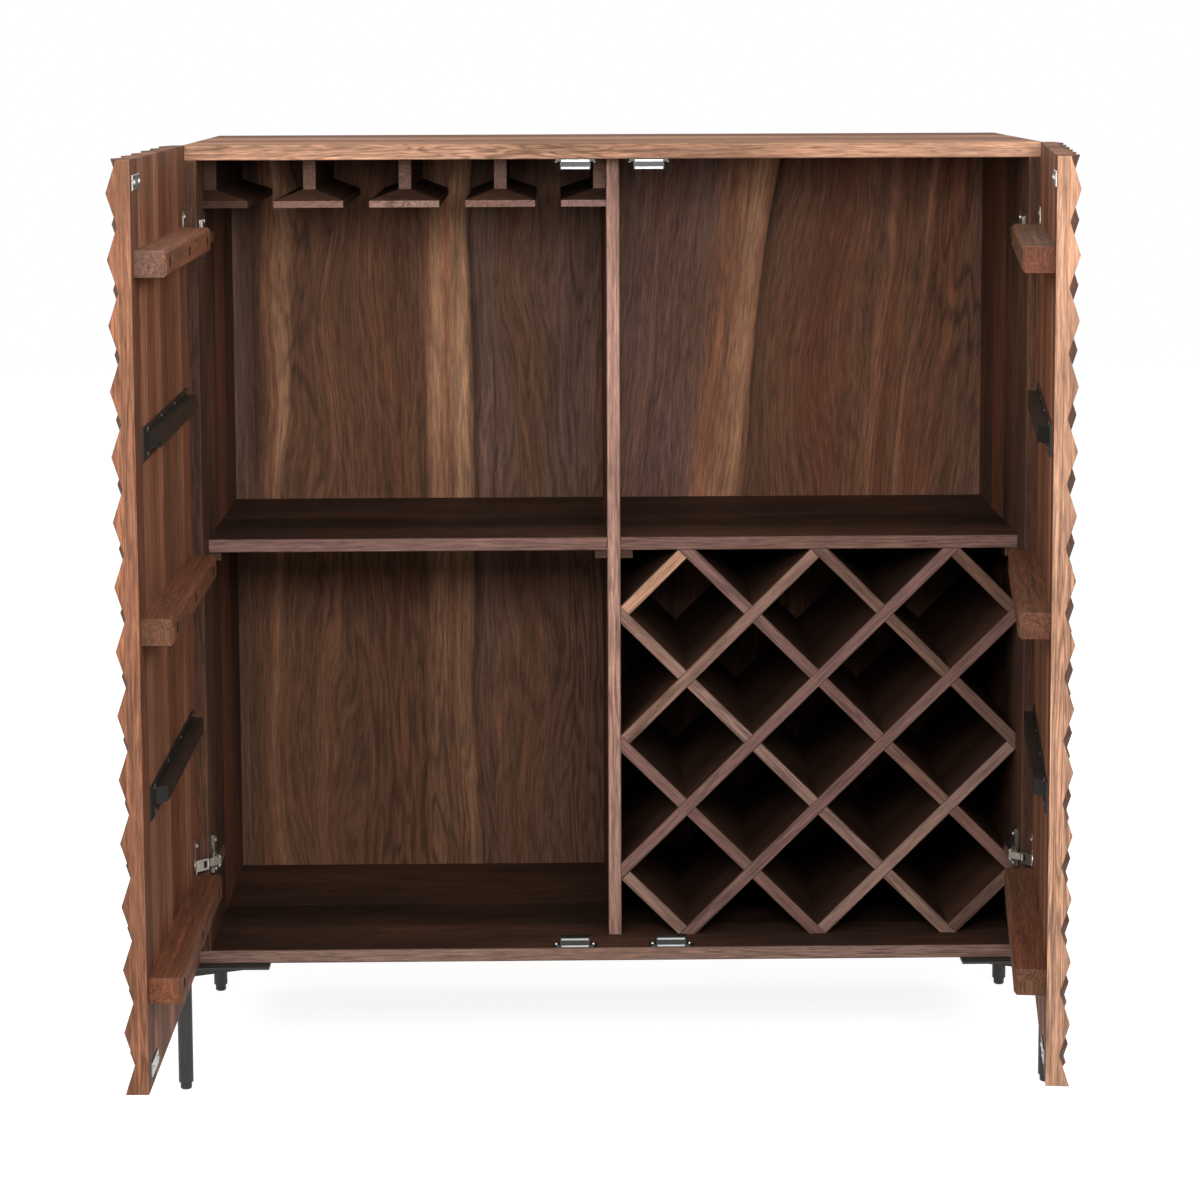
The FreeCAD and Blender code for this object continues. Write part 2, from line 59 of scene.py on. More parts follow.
def linear(hex_colour):
    """Turns an sRGB hex value to linear red, green and blue, with full alpha."""
    parts = [int(hex_colour[start:start + 2], 16) / 255 for start in (1, 3, 5)]
    made = [part / 12.92 if part <= 0.04045 else ((part + 0.055) / 1.055) ** 2.4 for part in parts]
    return (*made, 1.0)


def colour(name, description, hex_colour):
    """A colour property with a default written in sRGB."""
    return FloatVectorProperty(name=name, description=description, subtype="COLOR", size=4, min=0, max=1,
                               default=linear(hex_colour))


def length(name, description, millimetres):
    """A length property with a default written in millimetres."""
    return FloatProperty(name=name, description=description, subtype="DISTANCE", unit="LENGTH", min=0,
                         precision=5, default=millimetres * MILLIMETRE)


def share(name, description, value):
    """A property that runs from 0 to 1."""
    return FloatProperty(name=name, description=description, subtype="FACTOR", min=0, max=1, default=value)


def power(name, description, watts):
    """The power of a light."""
    return FloatProperty(name=name, description=description, subtype="POWER", unit="POWER", min=0,
                         default=watts)


def angle(name, description, degrees):
    """An angle property with a default written in degrees."""
    return FloatProperty(name=name, description=description, subtype="ANGLE", default=math.radians(degrees))


class WoodColours(bpy.types.PropertyGroup):
    """Tones of the oiled and stained sheesham boards."""
    umber: colour("Umber", "Growth lines and knots", "#21150F")
    cocoa: colour("Cocoa", "Darkest boards", "#36231B")
    heart: colour("Heartwood", "Dark boards", "#463026")
    ash: colour("Grey brown", "Boards that took the stain greyish", "#72574C")
    walnut: colour("Walnut", "Plain brown boards", "#6A4936")
    chestnut: colour("Chestnut", "Dark reddish brown boards", "#69402E")
    russet: colour("Russet", "Reddish brown boards", "#80503A")
    rose: colour("Rose brown", "Light, slightly pink boards", "#9A684F")
    honey: colour("Honey", "Golden sapwood streaks", "#B88B6B")
    dusk: colour("Dusk", "Sanded edges that kept a greyish stain", "#80615A")
    clay: colour("Clay", "Sanded edges of greyish wood", "#94766A")
    tan: colour("Tan", "Sanded edges of warm wood", "#C4967A")
    blush: colour("Blush", "Sanded edges of pink wood", "#AC8678")
    gilt: colour("Gilt", "Glow of the pale streaks", "#DCC3A0")
    figure: share("Figure", "How dark the growth lines are", 0.5)
    streaks: share("Streaks", "How strongly the streaks change the tone", 0.6)
    fading: share("Fading", "How far a tone fades to plain brown along a board", 0.7)
    fibre: share("Fibre", "How strongly the fine fibres show", 0.4)


class WoodSizes(bpy.types.PropertyGroup):
    """Real sizes of what shows in the wood."""
    drift_length: length("Drift length", "How far the grain runs before it wanders", 480)
    drift_width: length("Drift width", "How wide a stretch of grain wanders together", 150)
    plank_wander: length("Plank wander", "How far the grain of a solid plank wanders", 150)
    line_length: length("Line length", "How far a growth line runs before it turns", 520)
    bold_length: length("Bold line length", "The same on boards with a bold figure", 240)
    line_width: length("Line width", "Width of a family of growth lines", 64)
    streak_length: length("Streak length", "How far a streak runs along the grain", 260)
    streak_width: length("Streak width", "How wide a streak is", 9)
    fibre_length: length("Fibre length", "Length of the fine fibres", 30)
    fibre_width: length("Fibre width", "Width of the fine fibres, drawn coarse enough to show", 2.2)
    knot_spacing: length("Knot spacing", "Distance between knots along the grain", 360)
    knot_width: length("Knot row width", "Distance between knots across the grain", 110)
    worn_edge: length("Worn edge", "Width of the paler line along a rubbed edge", 1.5)


class MetalColours(bpy.types.PropertyGroup):
    """Colours of the steel and plastic fittings."""
    powder: colour("Powder coat", "Black coat of the legs", "#24221F")
    paint: colour("Straightener paint", "Black paint of the door straighteners", "#171512")
    # Painted shade: both plating colours are darker than bright plating, for the shade on the hinges, strike
    # plates and catch plates
    nickel: colour("Nickel", "Plating of the hinges", "#A9A398")
    zinc: colour("Zinc", "Plating of the strike plates, catch plates and screws", "#B4B5B4")
    plastic: colour("Catch plastic", "Black plastic of the catches", "#141312")
    glide: colour("Glide plastic", "Black plastic of the glides", "#1B1A19")


class ScrewSizes(bpy.types.PropertyGroup):
    """Sizes of the cross-head screws."""
    head: length("Head diameter", "Diameter of a screw head", 6.6)
    height: length("Head height", "How far a head stands proud", 1.5)
    recess_length: length("Recess length", "Length of each arm of the cross, end to end", 3.8)
    recess_width: length("Recess width", "Width of each arm of the cross", 0.9)
    recess_depth: length("Recess depth", "Depth of the cross", 1.0)
    seed: IntProperty(name="Seed", description="Seed for the way each screw is turned", default=7)


class StageSettings(bpy.types.PropertyGroup):
    """Studio light, floor and camera."""
    floor: colour("Floor", "Pale floor under the armoire", "#C4C3C1")
    front_power: power("Front light", "Power of the soft light in front", 40)
    side_power: power("Side lights", "Power of the soft light at each side", 16)
    top_power: power("Top light", "Power of the soft light above", 21)
    back_power: power("Back light", "Power of the weak light behind", 14)
    ambient: share("Ambient", "Strength of the light from all around", 0.12)
    camera_place: FloatVectorProperty(name="Camera", description="Where the camera stands",
                                      subtype="TRANSLATION", unit="LENGTH",
                                      default=(-0.0719, -3.8410, 1.2547))
    camera_yaw: angle("Yaw", "Camera turn to the right", 0.97)
    camera_pitch: angle("Pitch", "Camera tilt downwards", 7.09)
    camera_roll: angle("Roll", "Camera roll", -0.21)
    camera_lens: FloatProperty(name="Lens", description="Focal length on a 36 mm sensor", default=98.3)
    camera_shift: FloatVectorProperty(name="Shift", description="Camera shift in frame widths", size=2,
                                      default=(-0.0077, -0.1203))


def add_node(tree, kind, inputs=(), stops=(), **settings):
    """Adds a node: settings are its properties, stops its colour ramp, and an input is linked or set."""
    made = tree.nodes.new(kind)
    for name, value in settings.items():
        setattr(made, name, value)
    for place, (position, tone) in enumerate(stops):
        elements = made.color_ramp.elements
        element = elements[place] if place < len(elements) else elements.new(position)
        element.position = position
        element.color = tone
    while stops and len(made.color_ramp.elements) > len(stops):
        made.color_ramp.elements.remove(made.color_ramp.elements[-1])
    for key, value in dict(inputs).items():
        if isinstance(value, bpy.types.NodeSocket):
            tree.links.new(value, made.inputs[key])
        else:
            made.inputs[key].default_value = value
    return made


def new_material(name):
    """An empty material and its node tree."""
    material = bpy.data.materials.new(name)
    material.use_nodes = True
    material.node_tree.nodes.clear()
    return material, material.node_tree


def finish_surface(tree, inputs):
    """Closes a material with one surface shader."""
    surface = add_node(tree, "ShaderNodeBsdfPrincipled", inputs)
    add_node(tree, "ShaderNodeOutputMaterial", {"Surface": surface.outputs["BSDF"]})


def span(piece, direction):
    """Lowest and highest reach of a piece along a direction, in the frame at rest."""
    reach = [corner.co.dot(direction) for corner in frame["nodes"][piece].data.vertices]
    return min(reach), max(reach)


class Grain:
    """How a board was cut: the way its grain runs, the way its planks lie side by side, and where they
    start."""

    def __init__(self, piece, along, across):
        through = along.cross(across)
        self.turn = Matrix((along, across, through)).to_euler()
        self.start = Vector([span(piece, way)[0] for way in (along, across, through)])
        low, high = span(piece, across)
        self.width = high - low


# Places across a board are in millimetres from its first edge, and two this close make a glued joint
JOINT = 1
# Any width does for a board of one plank, because tones are spread over the width that the piece has
ONE_PLANK = 10
# How much of the streaks and the fading still shows on the dark floor boards, whose tone is partly a dark
# stain and partly painted shade, and on narrow pieces
STEADY_SHARE = 0.45
# Where in an endless pattern a board's figure starts: these steps, times the number of its cut
DRIFT_STEPS = (3.1, 7.7, 1.3)
STREAK_STEPS = (1, 5.3, 0)
LINE_STEPS = (2.7, 1, 0)
KNOT_STEPS = (0.37, 0.61, 0)
# How far the figure can jump from plank to plank, in metres along, across and through the board
PLANK_JUMP = (2.0, 0.4, 0.1)
# How many times faster a pattern changes through a board than across it
STREAK_FLATNESS = 2
LINE_FLATNESS = 3
# How finely each pattern is broken up
DRIFT_NOISE = {"Scale": 1, "Detail": 2}
STREAK_NOISE = {"Scale": 1, "Detail": 6, "Roughness": 0.65, "Distortion": 0.3}
LINE_NOISE = {"Scale": 1, "Detail": 3, "Distortion": 0.2}
FIBRE_NOISE = {"Scale": 1, "Detail": 2, "Roughness": 0.7}
# Nearly all values of a noise lie between these
NOISE_RANGE = {"From Min": 0.3, "From Max": 0.7}
# The values of its pattern between which each layer of the wood comes in
PALE_STREAKS = {"From Min": 0.5, "From Max": 0.75}
DULL_STREAKS = {"From Min": 0.5, "From Max": 0.25}
FADED_STRETCHES = {"From Min": 0.45, "From Max": 0.65}
# Growth lines: how many lie in one swing of their pattern, half the way from one to the next, how far a
# line's shade reaches on that way, and how strong lines are as the grain drifts from side to side
LINE_COUNT = 15
HALF_LINE = 0.5
LINE_SHADE = 0.38
LINE_STRENGTH = {"From Min": 0.35, "From Max": 0.62, "To Min": 1, "To Max": 0.25}
# Knots are darkest in the middle, and how dark they are falls off to their rim
KNOT_SHADE = {"From Min": 0.05, "From Max": 0.12, "To Min": 0.8, "To Max": 0}
# Back panels fade more by this much at their foot, and by less with each metre of height
FOOT_FADING = 0.33
FADING_PER_METRE = -0.4
# How squarely a face has to look the sanded way, and how far a rubbed edge turns before it is palest
SANDED_FACING = {"From Min": 0.6, "From Max": 0.8}
RUBBED_TURN = {"From Min": 0.99, "From Max": 0.8, "To Max": 0.3}
BEVEL_SAMPLES = 3
# The oil is duller on dark streaks than on pale ones
OIL_ROUGHNESS = {"To Min": 0.74, "To Max": 0.58}
OIL_SHEEN = 0.12
FIBRE_RELIEF = {"Strength": 0.3, "Distance": 0.4 * MILLIMETRE}


def glued(*planks):
    """Tones of planks glued side by side, each given as a width and a tone."""
    tones = []
    reached = 0
    for width, tone in planks:
        tones += [(reached + JOINT, tone), (reached + width, tone)]
        reached += width
    return tones


def plain(tone):
    """Tones of a board that is one plank."""
    return glued((ONE_PLANK, tone))


def grey(value):
    """A grey for a ramp that carries a value."""
    return (value, value, value, 1)


def plank_ramps(tones):
    """Two ramps across a board: a window that opens in the middle of each plank and is shut at its joints,
    and a value that tells the planks apart."""
    total = tones[-1][0]
    joints = [later for (earlier, _), (later, _) in zip(tones, tones[1:]) if later - earlier <= JOINT]
    edges = [0, *joints, total]
    window = [(1, grey(0))]
    numbers = []
    for number, (start, end) in enumerate(zip(edges, edges[1:]), start=1):
        window += [(start / total, grey(0)), ((start + end) / 2 / total, grey((end - start) / total))]
        numbers.append((start / total, grey(number / len(edges))))
    return sorted(window), numbers


def growth_lines(tree, grown, drift, cut, bold):
    """Dark growth lines: contours of a slow pattern, that come and go with the drift."""
    colours = bpy.context.scene.armoire_wood
    sizes = bpy.context.scene.armoire_grain
    line_length = sizes.bold_length if bold else sizes.line_length
    line_place = add_node(tree, "ShaderNodeMapping", {
        "Vector": grown, "Location": [cut * step for step in LINE_STEPS],
        "Scale": (1 / line_length, 1 / sizes.line_width, LINE_FLATNESS / sizes.line_width)})
    contour = add_node(tree, "ShaderNodeTexNoise", {
        "Vector": line_place.outputs["Vector"], **LINE_NOISE}).outputs["Fac"]
    counted = add_node(tree, "ShaderNodeMath", {0: contour, 1: LINE_COUNT}, operation="MULTIPLY").outputs[0]
    ring = add_node(tree, "ShaderNodeMath", {0: counted, 1: HALF_LINE}, operation="PINGPONG").outputs[0]
    line = add_node(tree, "ShaderNodeMapRange", {
        "Value": ring, "From Max": LINE_SHADE, "To Min": colours.figure, "To Max": 0},
        interpolation_type="SMOOTHSTEP").outputs[0]
    strength = add_node(tree, "ShaderNodeMapRange", {"Value": drift, **LINE_STRENGTH}).outputs[0]
    return add_node(tree, "ShaderNodeMath", {0: line, 1: strength}, operation="MULTIPLY").outputs[0]


def knot_spots(tree, grown, cut):
    """Small dark knots in rows."""
    sizes = bpy.context.scene.armoire_grain
    knot_place = add_node(tree, "ShaderNodeMapping", {
        "Vector": grown, "Location": [cut * step for step in KNOT_STEPS],
        "Scale": (1 / sizes.knot_spacing, 1 / sizes.knot_width, 1 / sizes.knot_width)}).outputs["Vector"]
    knot = add_node(tree, "ShaderNodeTexVoronoi", {"Vector": knot_place, "Scale": 1}).outputs["Distance"]
    return add_node(tree, "ShaderNodeMapRange", {"Value": knot, **KNOT_SHADE}).outputs[0]


def painted_bore_shade(tree, place, grain, bores):
    """Painted shade inside the round bores for sunk screws, in a row along the middle of a batten."""
    first, step, radius = bores
    past = add_node(tree, "ShaderNodeMath", {0: place["X"], 1: first}, operation="SUBTRACT").outputs[0]
    beside = add_node(tree, "ShaderNodeMath", {0: past, 1: step / 2}, operation="PINGPONG").outputs[0]
    above = add_node(tree, "ShaderNodeMath", {0: place["Y"], 1: grain.width / 2},
                     operation="SUBTRACT").outputs[0]
    away = add_node(tree, "ShaderNodeCombineXYZ", {0: beside, 1: above}).outputs[0]
    reach = add_node(tree, "ShaderNodeVectorMath", {0: away}, operation="LENGTH").outputs["Value"]
    return add_node(tree, "ShaderNodeMath", {0: reach, 1: radius}, operation="LESS_THAN").outputs[0]


def laid_stains_and_shade(tree, tone, layers):
    """Lays stains and painted shade over a tone. A layer says how much of it shows where, its colour and how
    it blends.
    """
    for layer_share, stain, blend in layers:
        tone = add_node(tree, "ShaderNodeMix", {0: layer_share, 6: tone, 7: stain}, data_type="RGBA",
                        blend_type=blend).outputs[2]
    return tone


def oiled_wood(name, grain, tones, cut, edge_tone=None, edge_way=-Y_AXIS, veneer_wander=None, bold=False,
               knots=False, steady=False, bores=None):
    """Solid sheesham, planed, given a walnut stain and oiled: a satin brown whose tone changes from plank to
    plank, with wandering streaks, dark growth lines in arches and paler wood at sanded and rubbed edges.
    Some layers are painted shade: a dark edge tone on the first stemware flange and web, and dark insides of
    screw bores."""
    colours = bpy.context.scene.armoire_wood
    sizes = bpy.context.scene.armoire_grain
    shown_share = STEADY_SHARE if steady else 1
    streak_share = colours.streaks * shown_share
    material, tree = new_material(name)
    coordinates = add_node(tree, "ShaderNodeTexCoord").outputs
    board = add_node(tree, "ShaderNodeMapping", {
        "Vector": coordinates["Object"], "Rotation": grain.turn, "Location": -grain.start}).outputs["Vector"]
    place = add_node(tree, "ShaderNodeSeparateXYZ", {0: board}).outputs
    # Planks: which one a point is in, and how far from its joints
    window_stops, number_stops = plank_ramps(tones)
    plank_share = add_node(tree, "ShaderNodeMath", {0: place["Y"], 1: grain.width},
                           operation="DIVIDE").outputs[0]
    window = add_node(tree, "ShaderNodeValToRGB", {"Fac": plank_share}, window_stops).outputs["Color"]
    plank_number = add_node(tree, "ShaderNodeValToRGB", {"Fac": plank_share}, number_stops)
    plank_number.color_ramp.interpolation = "CONSTANT"
    jump = add_node(tree, "ShaderNodeTexWhiteNoise", {
        "Vector": plank_number.outputs["Color"]}).outputs["Color"]
    # Drift: inside its plank the grain wanders slowly from side to side
    wander = veneer_wander or sizes.plank_wander
    drift_place = add_node(tree, "ShaderNodeMapping", {
        "Vector": board, "Location": [cut * step for step in DRIFT_STEPS],
        "Scale": (1 / sizes.drift_length, 1 / sizes.drift_width, 1 / sizes.drift_width)}).outputs["Vector"]
    drifting = add_node(tree, "ShaderNodeTexNoise", {"Vector": drift_place, **DRIFT_NOISE}).outputs
    drift = drifting["Fac"]
    astray = add_node(tree, "ShaderNodeMapRange", {
        "Value": drift, "To Min": -wander / 2, "To Max": wander / 2}).outputs[0]
    bent = add_node(tree, "ShaderNodeMath", {0: astray, 1: window, 2: place["Y"]},
                    operation="MULTIPLY_ADD").outputs[0]
    bent_share = add_node(tree, "ShaderNodeMath", {0: bent, 1: grain.width}, operation="DIVIDE").outputs[0]
    stops = [(reached / tones[-1][0], getattr(colours, tone)) for reached, tone in tones]
    tone = add_node(tree, "ShaderNodeValToRGB", {"Fac": bent_share}, stops).outputs["Color"]
    # Each plank is from another tree, so the figure jumps at a joint
    grown = add_node(tree, "ShaderNodeCombineXYZ", {0: place["X"], 1: bent, 2: place["Z"]}).outputs[0]
    grown = add_node(tree, "ShaderNodeVectorMath", {0: jump, 1: PLANK_JUMP, 2: grown},
                     operation="MULTIPLY_ADD").outputs[0]
    # Streaks run along the grain, some pale and some dull
    streak_place = add_node(tree, "ShaderNodeMapping", {
        "Vector": grown, "Location": [cut * step for step in STREAK_STEPS], "Scale": (
            1 / sizes.streak_length, 1 / sizes.streak_width, STREAK_FLATNESS / sizes.streak_width)})
    streak = add_node(tree, "ShaderNodeTexNoise", {
        "Vector": streak_place.outputs["Vector"], **STREAK_NOISE}).outputs["Fac"]
    gilded_share = add_node(tree, "ShaderNodeMapRange", {
        "Value": streak, **PALE_STREAKS, "To Max": streak_share}).outputs[0]
    dull_share = add_node(tree, "ShaderNodeMapRange", {
        "Value": streak, **DULL_STREAKS, "To Max": streak_share}).outputs[0]
    # Fading: along a board its tone comes and goes, on the back panels more so towards their foot
    fading = add_node(tree, "ShaderNodeSeparateXYZ", {0: drifting["Color"]}).outputs["Y"]
    if veneer_wander:
        fading = add_node(tree, "ShaderNodeMath", {0: place["X"], 1: FADING_PER_METRE, 2: fading},
                          operation="MULTIPLY_ADD").outputs[0]
        fading = add_node(tree, "ShaderNodeMath", {0: fading, 1: FOOT_FADING}, operation="ADD").outputs[0]
    faded_share = add_node(tree, "ShaderNodeMapRange", {
        "Value": fading, **FADED_STRETCHES, "To Max": colours.fading * shown_share}).outputs[0]
    layers = []
    # The faces that were sanded last are the palest, except on the first stemware flange and web, whose dark
    # tone there is painted shade
    if edge_tone:
        towards = add_node(tree, "ShaderNodeVectorMath", {0: coordinates["Normal"], 1: edge_way},
                           operation="DOT_PRODUCT").outputs["Value"]
        sanded_and_shaded_share = add_node(tree, "ShaderNodeMapRange", {"Value": towards, **SANDED_FACING}).outputs[0]
        layers.append((sanded_and_shaded_share, getattr(colours, edge_tone), "MIX"))
    # Pale streaks lighten a light board more than a dark one
    layers += [(faded_share, colours.walnut, "MIX"), (gilded_share, colours.gilt, "DODGE"),
               (dull_share, colours.heart, "MIX"),
               (growth_lines(tree, grown, drift, cut, bold), colours.umber, "MIX")]
    if knots:
        layers.append((knot_spots(tree, grown, cut), colours.umber, "MIX"))
    tone = laid_stains_and_shade(tree, tone, layers)
    fibre_place = add_node(tree, "ShaderNodeMapping", {
        "Vector": grown, "Scale": (1 / sizes.fibre_length, 1 / sizes.fibre_width, 1 / sizes.fibre_width)})
    fibre = add_node(tree, "ShaderNodeTexNoise", {
        "Vector": fibre_place.outputs["Vector"], **FIBRE_NOISE}).outputs["Fac"]
    fibre_shade = add_node(tree, "ShaderNodeMapRange", {
        "Value": fibre, **NOISE_RANGE, "To Min": 1 - colours.fibre, "To Max": 1 + colours.fibre / 2})
    tone = add_node(tree, "ShaderNodeVectorMath", {0: tone, "Scale": fibre_shade.outputs[0]},
                    operation="SCALE").outputs[0]
    # Rubbed edges: where the softened normal leaves the true one, the stain is worn
    softened = add_node(tree, "ShaderNodeBevel", {"Radius": sizes.worn_edge},
                        samples=BEVEL_SAMPLES).outputs["Normal"]
    true_normal = add_node(tree, "ShaderNodeNewGeometry").outputs["True Normal"]
    agreement = add_node(tree, "ShaderNodeVectorMath", {0: softened, 1: true_normal},
                         operation="DOT_PRODUCT").outputs["Value"]
    rubbed_share = add_node(tree, "ShaderNodeMapRange", {"Value": agreement, **RUBBED_TURN}).outputs[0]
    layers = [(rubbed_share, colours.blush, "MIX")]
    # Painted shade: the insides of the bores for sunk screws are darkened with umber
    if bores:
        layers.append((painted_bore_shade(tree, place, grain, bores), colours.umber, "MIX"))
    tone = laid_stains_and_shade(tree, tone, layers)
    rough = add_node(tree, "ShaderNodeMapRange", {
        "Value": streak, **NOISE_RANGE, **OIL_ROUGHNESS}).outputs[0]
    bump = add_node(tree, "ShaderNodeBump", {
        "Height": fibre, "Normal": softened, **FIBRE_RELIEF}).outputs["Normal"]
    finish_surface(tree, {
        "Base Color": tone, "Roughness": rough, "Normal": bump, "Specular IOR Level": OIL_SHEEN})
    return material


# Black coats: the scale of their stains as a share of the grit's, their shade, relief and roughness
COAT_STAIN_SHARE = 0.05
COAT_SHADE = {"To Min": 0.75, "To Max": 1.3}
COAT_RELIEF = {"Strength": 0.35, "Distance": 0.15 * MILLIMETRE}
COAT_ROUGHNESS_SPREAD = 0.1


def powder_coat(name, tone, grit, roughness):
    """Black coated steel and moulded plastic: a dull black with a fine grit that breaks up highlights."""
    material, tree = new_material(name)
    place = add_node(tree, "ShaderNodeTexCoord").outputs["Object"]
    specks = add_node(tree, "ShaderNodeTexNoise", {
        "Vector": place, "Scale": 1 / grit, "Detail": 2}).outputs["Fac"]
    stain = add_node(tree, "ShaderNodeTexNoise", {
        "Vector": place, "Scale": COAT_STAIN_SHARE / grit, "Detail": 3}).outputs["Fac"]
    shade = add_node(tree, "ShaderNodeMapRange", {"Value": stain, **NOISE_RANGE, **COAT_SHADE}).outputs[0]
    tinted = add_node(tree, "ShaderNodeVectorMath", {0: tone[:3], "Scale": shade},
                      operation="SCALE").outputs[0]
    rough = add_node(tree, "ShaderNodeMapRange", {
        "Value": specks, **NOISE_RANGE, "To Min": roughness - COAT_ROUGHNESS_SPREAD,
        "To Max": roughness + COAT_ROUGHNESS_SPREAD}).outputs[0]
    bump = add_node(tree, "ShaderNodeBump", {"Height": specks, **COAT_RELIEF}).outputs["Normal"]
    finish_surface(tree, {"Base Color": tinted, "Roughness": rough, "Normal": bump})
    return material


# Plating: the scales along its drawn lines and of its patches, as shares of the scale across the lines
PLATING_LINE_SHARE = 0.05
PLATING_PATCH_SHARE = 0.06
PLATING_SHADE = {"To Min": 0.82, "To Max": 1}
PLATING_RELIEF = {"Strength": 0.1, "Distance": 0.05 * MILLIMETRE}
PLATING_ROUGHNESS_SPREAD = 0.15


def plated_steel(name, tone, line, roughness):
    """Plated pressed steel with faint drawn lines and slightly dull patches; its colour is set darker than
    bright plating, as painted shade.
    """
    material, tree = new_material(name)
    place = add_node(tree, "ShaderNodeTexCoord").outputs["Object"]
    drawn = add_node(tree, "ShaderNodeMapping", {
        "Vector": place, "Scale": (1 / line, 1 / line, PLATING_LINE_SHARE / line)}).outputs["Vector"]
    lines = add_node(tree, "ShaderNodeTexNoise", {"Vector": drawn, "Scale": 1, "Detail": 2}).outputs["Fac"]
    patches = add_node(tree, "ShaderNodeTexNoise", {
        "Vector": place, "Scale": PLATING_PATCH_SHARE / line, "Detail": 2}).outputs["Fac"]
    shade = add_node(tree, "ShaderNodeMapRange", {
        "Value": patches, **NOISE_RANGE, **PLATING_SHADE}).outputs[0]
    tinted = add_node(tree, "ShaderNodeVectorMath", {0: tone[:3], "Scale": shade},
                      operation="SCALE").outputs[0]
    rough = add_node(tree, "ShaderNodeMapRange", {
        "Value": lines, **NOISE_RANGE, "To Min": roughness,
        "To Max": roughness + PLATING_ROUGHNESS_SPREAD}).outputs[0]
    bump = add_node(tree, "ShaderNodeBump", {"Height": lines, **PLATING_RELIEF}).outputs["Normal"]
    finish_surface(tree, {"Base Color": tinted, "Metallic": 1, "Roughness": rough, "Normal": bump})
    return material


def dress(piece, material):
    """Gives one carried-over piece its finish."""
    slots = frame["nodes"][piece].data.materials
    slots.clear()
    slots.append(material)


class Door:
    """A door as it stands at rest: its body, the way it runs from its hinges, the way its inner face looks,
    and how far that way the face lies."""

    def __init__(self, side, sign):
        joint = next(found for found in frame["joints"] if found["name"] == side + "_door_hinge")
        opened = -math.radians(joint["range_deg"][0])
        self.body = side + "_door"
        self.run = Vector((-sign * math.cos(opened), -math.sin(opened), 0))
        self.inward = Vector((-sign * math.sin(opened), math.cos(opened), 0))
        self.face = span(side + "_door", self.inward)[1]


DOORS = {"left": Door("left", -1), "right": Door("right", 1)}

# Tones across each board, at places in millimetres from its first edge
LEFT_BACK_TONES = ((0, "ash"), (30, "heart"), (42, "walnut"), (54, "rose"), (60, "honey"), (72, "walnut"),
                   (110, "walnut"), (122, "rose"), (136, "walnut"), (205, "chestnut"), (246, "walnut"),
                   (247, "rose"), (262, "honey"), (276, "rose"), (290, "honey"), (301, "honey"),
                   (309, "heart"), (322, "ash"), (380, "walnut"), (420, "ash"), (468, "ash"),
                   (474, "russet"), (482, "heart"))
RIGHT_BACK_TONES = ((0, "heart"), (40, "ash"), (70, "dusk"), (125, "dusk"), (150, "ash"), (180, "rose"),
                    (216, "honey"), (229, "rose"), (232, "cocoa"), (250, "walnut"), (330, "chestnut"),
                    (380, "walnut"), (392, "rose"), (402, "chestnut"), (430, "walnut"), (437, "rose"),
                    (446, "chestnut"), (470, "russet"), (490, "walnut"), (540, "ash"), (600, "heart"))
# Side, tones, lean of the grain in degrees and how far it wanders
BACKS = (("left", LEFT_BACK_TONES, 0, 320 * MILLIMETRE), ("right", RIGHT_BACK_TONES, 6, 110 * MILLIMETRE))
TOP_PLANKS = glued((95, "honey"), (110, "rose"), (105, "honey"), (120, "russet"))
# The bottom and shelves: their dark tone is partly a dark stain and partly painted shade for their dim
# upward faces inside the cabinet
STAIN_AND_SHADE_FLOOR_PLANKS = glued((110, "cocoa"), (100, "umber"), (120, "cocoa"), (100, "cocoa"))
SIDE_PLANKS = glued((100, "heart"), (90, "cocoa"), (110, "chestnut"), (130, "heart"))
DOOR_PLANKS = glued((70, "russet"), (54, "rose"), (62, "russet"), (80, "chestnut"), (46, "rose"),
                    (78, "russet"), (56, "rose"), (60, "chestnut"))
DARK_BOARD = plain("cocoa")
# Way of the grain, planks, tone of the sanded edges and the way that they face
CARCASS = {
    "top_panel": (X_AXIS, TOP_PLANKS, "tan", -Y_AXIS),
    "bottom_panel": (X_AXIS, STAIN_AND_SHADE_FLOOR_PLANKS, "clay", -Y_AXIS),
    "left_shelf": (X_AXIS, STAIN_AND_SHADE_FLOOR_PLANKS, "dusk", -Y_AXIS),
    "right_shelf": (X_AXIS, STAIN_AND_SHADE_FLOOR_PLANKS, "dusk", -Y_AXIS),
    "left_side_panel": (Z_AXIS, SIDE_PLANKS, "russet", -X_AXIS),
    "right_side_panel": (Z_AXIS, SIDE_PLANKS, "russet", X_AXIS),
    "centre_divider": (Z_AXIS, SIDE_PLANKS, "blush", -Y_AXIS),
}
DOOR_EDGE_TONES = {"left": "rose", "right": "tan"}
# The tone of each batten and of its sanded end, from the top down
BATTEN_TONES = {"left": (("russet", "ash"), ("chestnut", "walnut"), ("chestnut", "russet")),
                "right": (("walnut", "chestnut"), ("chestnut", "chestnut"), ("chestnut", "walnut"))}
BATTEN_SCREW_MARGIN = 34 * MILLIMETRE
# The radius of the screw bores, inside which shade is painted
BORE_RADIUS = 6.3 * MILLIMETRE
# The tones of the sanded front edges of the slats and rails; the dark tones of the first flange and web are
# painted shade
SLAT_TONES = {"rising": ("ash", "clay", "dusk", "dusk", "clay", "tan"),
              "falling": ("clay", "dusk", "clay", "dusk", "ash", "ash")}
FLANGE_TONES_WITH_PAINTED_SHADE = ("cocoa", "dusk", "clay", "dusk", "dusk")
WEB_TONES_WITH_PAINTED_SHADE = ("heart", "ash", "ash", "ash", "ash")
